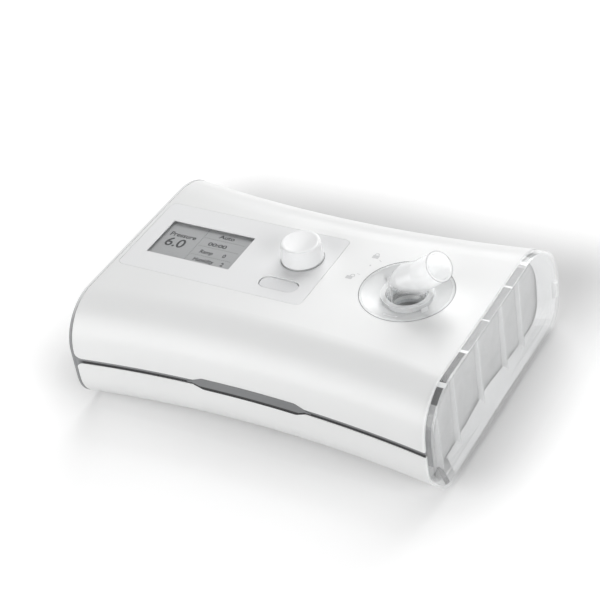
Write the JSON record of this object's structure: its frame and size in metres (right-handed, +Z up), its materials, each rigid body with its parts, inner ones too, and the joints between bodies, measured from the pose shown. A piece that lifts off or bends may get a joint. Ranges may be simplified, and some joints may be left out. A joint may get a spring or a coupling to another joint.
{
  "type": "cpap machine with heated humidifier",
  "caption": "Bench-top breathing machine: waisted white housing, display, push-turn knob, start button, clear slide-out water tank and swivelling air outlet elbow.",
  "frame": {"origin": "middle of the footprint, on the table under the feet", "axes": "+X from the air-inlet end to the water tank, -Y the front with the badge plate, +Z up"},
  "size_m": [0.2952, 0.2141, 0.13],
  "materials": {
    "white_shell": "glossy moulded",
    "trim_grey": "satin moulded",
    "gasket_black": "matt",
    "badge_grey": "fine grained",
    "foot_rubber": "matt",
    "steel": "plated",
    "panel_sheet": "fine satin sheet",
    "knob_white": "glossy moulded",
    "button_grey": "translucent satin",
    "lens_clear": "polished window",
    "lcd_grey": "reflective display",
    "lcd_metal": "pressed frame",
    "circuit_board": "solder mask",
    "component_black": "moulded",
    "aluminium": "plain",
    "clear_plastic": "clear moulded, polished",
    "frosted_clear": "clear moulded, finely frosted",
    "seal_silicone": "soft translucent silicone",
    "inner_plastic": "plain moulded",
    "duct_grey": "plain moulded",
    "foam": "open-cell foam",
    "filter_media": "fine felt",
    "copper": "wound wire",
    "heater_film": "polyimide film"
  },
  "bodies": {
    "housing": {"top_cover": "white_shell", "bottom_case": "white_shell", "badge_plate": "badge_grey", "trim_frame": "trim_grey", "seam_gasket": "gasket_black", "feet": "foot_rubber", "case_screws": "steel", "left_end_panel": "white_shell", "air_filter": "filter_media", "inlet_muffler": "inner_plastic", "muffler_foam": "foam", "blower_base": "duct_grey", "blower_cap": "duct_grey", "motor_stator": "copper", "motor_bearings": "steel", "blower_mounts": "foot_rubber", "bay_wall": "inner_plastic", "outlet_boot": "seal_silicone", "inlet_seal": "seal_silicone", "heater_carrier": "duct_grey", "heater_element": "heater_film", "heater_plate": "aluminium", "outlet_socket": "white_shell", "outlet_seal": "seal_silicone", "control_panel": "panel_sheet", "lcd_lens": "lens_clear", "lcd_glass": "lcd_grey", "lcd_frame": "lcd_metal", "ui_board": "circuit_board", "board_screws": "steel", "encoder_body": "component_black", "button_switch": "component_black", "main_board": "circuit_board", "board_capacitors": "component_black", "board_connectors": "inner_plastic", "heat_sink": "aluminium", "pressure_sensor": "component_black", "power_socket": "component_black"},
    "encoder_slide": {"encoder_plunger": "component_black"},
    "knob": {"knob": "knob_white", "knob_shaft": "steel"},
    "start_button": {"start_button": "button_grey", "switch_plunger": "component_black"},
    "tank": {"tank_tub": "clear_plastic", "tank_base_plate": "steel", "tank_seal": "seal_silicone", "tank_lid": "clear_plastic", "tank_bulkhead": "frosted_clear", "tank_cap": "clear_plastic"},
    "tank_catch": {"tank_catch": "frosted_clear"},
    "outlet_disc": {"outlet_disc": "clear_plastic"},
    "elbow": {"elbow": "clear_plastic", "elbow_ring": "seal_silicone"},
    "filter_door": {"filter_door": "white_shell"},
    "blower_rotor": {"impeller": "inner_plastic", "motor_shaft": "steel", "rotor_magnet": "component_black"}
  },
  "joints": [
    {"name": "knob_press", "type": "slide", "parent": "housing", "child": "encoder_slide", "axis": [0, 0, -1], "range_m": [0, 0.0008], "stiffness_N_per_m": 3000},
    {"name": "knob_turn", "type": "hinge", "parent": "encoder_slide", "child": "knob", "pos_m": [-0.0075, 0.01, 0.0885], "axis": [0, 0, 1], "continuous": true},
    {"name": "start_button_press", "type": "slide", "parent": "housing", "child": "start_button", "axis": [0, 0, -1], "range_m": [0, 0.0008], "stiffness_N_per_m": 2500},
    {"name": "tank_slide", "type": "slide", "parent": "housing", "child": "tank", "axis": [1, 0, 0], "range_m": [0, 0.135]},
    {"name": "tank_catch_press", "type": "slide", "parent": "tank", "child": "tank_catch", "axis": [0, -1, 0], "range_m": [0, 0.0015], "stiffness_N_per_m": 1500},
    {"name": "outlet_disc_turn", "type": "hinge", "parent": "housing", "child": "outlet_disc", "pos_m": [0.08185, 0, 0.0884], "axis": [0, 0, 1], "range_deg": [-35, 0]},
    {"name": "elbow_swivel", "type": "hinge", "parent": "outlet_disc", "child": "elbow", "pos_m": [0.08185, 0, 0.0884], "axis": [0, 0, 1], "continuous": true},
    {"name": "filter_door_swing", "type": "hinge", "parent": "housing", "child": "filter_door", "pos_m": [-0.1431, 0.0586, 0.0628], "axis": [0, 0, -1], "range_deg": [0, 100]},
    {"name": "blower_spin", "type": "hinge", "parent": "housing", "child": "blower_rotor", "pos_m": [-0.088, 0.028, 0.03], "axis": [0, 0, 1], "continuous": true}
  ]
}
